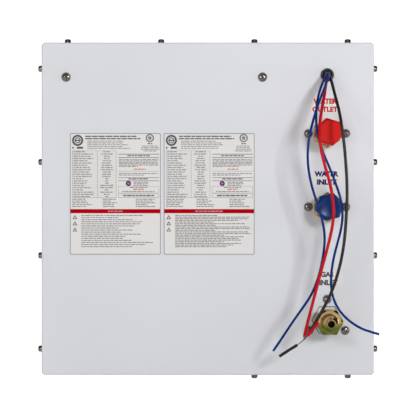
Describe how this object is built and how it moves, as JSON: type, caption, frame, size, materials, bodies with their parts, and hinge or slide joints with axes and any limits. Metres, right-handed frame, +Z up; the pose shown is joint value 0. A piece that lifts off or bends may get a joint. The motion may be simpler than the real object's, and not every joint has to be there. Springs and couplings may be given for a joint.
{
  "type": "tankless water heater",
  "caption": "Compact direct-vent gas water heater for a wall recess: square steel case, rear water, gas and wire entries, hinged louvred service door.",
  "frame": {"origin": "middle of the lowest edge: centred across and front to back between the gas fitting's tip and the door's latches, at the wall flange's lower edge", "axes": "+Z up, +Y towards the service door, -Y the connection panel with its water, gas and wire entries, +X to the right when facing the connection panel"},
  "size_m": [0.381, 0.4321, 0.381],
  "materials": {
    "white_powder_coat": "semi-matte powder coat",
    "galvanised_steel": "galvanised",
    "plated_screw": "nickel plated",
    "zinc_plate": "bright zinc",
    "brass": "machined",
    "red_plastic": "glossy",
    "blue_plastic": "glossy",
    "black_rubber": "matte",
    "grey_foam": "open cell foam",
    "label_film": "printed film",
    "blue_insulation": "satin vinyl",
    "red_insulation": "satin vinyl",
    "black_insulation": "satin vinyl",
    "copper": "drawn copper",
    "stainless": "brushed",
    "cast_aluminium": "as cast",
    "black_plastic": "moulded",
    "green_board": "solder resist",
    "white_ceramic": "glazed"
  },
  "bodies": {
    "casing": {"connection_panel": "white_powder_coat", "side_sheet_left": "galvanised_steel", "side_sheet_right": "galvanised_steel", "bottom_sheet": "galvanised_steel", "top_cover": "galvanised_steel", "case_screws": "plated_screw", "wall_flange": "white_powder_coat", "flange_gasket": "grey_foam", "frame_hinges": "stainless", "port_screws": "plated_screw", "port_brackets": "zinc_plate", "wire_grommet": "black_rubber", "hot_outlet_fitting": "brass", "cold_inlet_fitting": "brass", "gas_inlet_fitting": "brass", "rating_labels": "label_film", "port_labels": "label_film", "wire_blue_right": "blue_insulation", "wire_blue_left": "blue_insulation", "wire_red": "red_insulation", "wire_black": "black_insulation", "red_wire_tip": "red_insulation", "black_wire_tip": "black_insulation", "core_bracket": "galvanised_steel", "burner_box": "galvanised_steel", "burner_bars": "stainless", "heat_exchanger_shell": "copper", "heat_exchanger_fins": "copper", "heat_exchanger_tubes": "copper", "flue_hood": "galvanised_steel", "exhaust_duct": "stainless", "fan_housing": "galvanised_steel", "fan_motor": "cast_aluminium", "electrodes": "white_ceramic", "overheat_thermostat": "black_plastic", "ignition_transformer": "black_plastic", "gas_valve": "cast_aluminium", "gas_solenoids": "black_plastic", "gas_pipe": "cast_aluminium", "gas_manifold": "cast_aluminium", "cold_pipe": "copper", "drain_plug": "brass", "hot_pipe": "copper", "flow_sensor_body": "brass", "relief_valve": "brass", "control_box": "galvanised_steel", "control_box_lid": "galvanised_steel", "control_board": "green_board", "power_switch_body": "black_plastic"},
    "door": {"access_door": "white_powder_coat", "exhaust_grille": "stainless", "door_hinges": "stainless"},
    "upper_latch": {"latch_upper": "black_plastic"},
    "lower_latch": {"latch_lower": "black_plastic"},
    "relief_lever": {"relief_lever": "stainless"},
    "power_rocker": {"power_rocker": "red_plastic"},
    "fan_impeller": {"fan_impeller": "galvanised_steel"},
    "flow_turbine": {"flow_turbine": "black_plastic"},
    "hot_cap": {"hot_port_cap": "red_plastic"},
    "cold_cap": {"cold_port_cap": "blue_plastic"}
  },
  "joints": [
    {"name": "door_swing", "type": "hinge", "parent": "casing", "child": "door", "pos_m": [-0.181, 0.1995, 0.1905], "axis": [0, 0, 1], "range_deg": [0, 110]},
    {"name": "upper_latch_turn", "type": "hinge", "parent": "door", "child": "upper_latch", "pos_m": [0.14, 0.2003, 0.2905], "axis": [0, 1, 0], "range_deg": [0, 90]},
    {"name": "lower_latch_turn", "type": "hinge", "parent": "door", "child": "lower_latch", "pos_m": [0.14, 0.2003, 0.0905], "axis": [0, 1, 0], "range_deg": [0, 90]},
    {"name": "relief_lever_lift", "type": "hinge", "parent": "casing", "child": "relief_lever", "pos_m": [0.1157, 0.0573, 0.2635], "axis": [-1, 0, 0], "range_deg": [0, 80], "stiffness_Nm_per_rad": 0.3},
    {"name": "power_rocker_tilt", "type": "hinge", "parent": "casing", "child": "power_rocker", "pos_m": [-0.06, 0.1383, 0.0985], "axis": [1, 0, 0], "range_deg": [0, 20]},
    {"name": "fan_spin", "type": "hinge", "parent": "casing", "child": "fan_impeller", "pos_m": [-0.042, -0.0797, 0.0935], "axis": [0, 1, 0], "continuous": true},
    {"name": "flow_turbine_spin", "type": "hinge", "parent": "casing", "child": "flow_turbine", "pos_m": [0.1157, -0.1017, 0.1923], "axis": [0, 1, 0], "continuous": true},
    {"name": "hot_cap_pull", "type": "slide", "parent": "casing", "child": "hot_cap", "axis": [0, -1, 0], "range_m": [0, 0.018]},
    {"name": "cold_cap_pull", "type": "slide", "parent": "casing", "child": "cold_cap", "axis": [0, -1, 0], "range_m": [0, 0.018]}
  ]
}
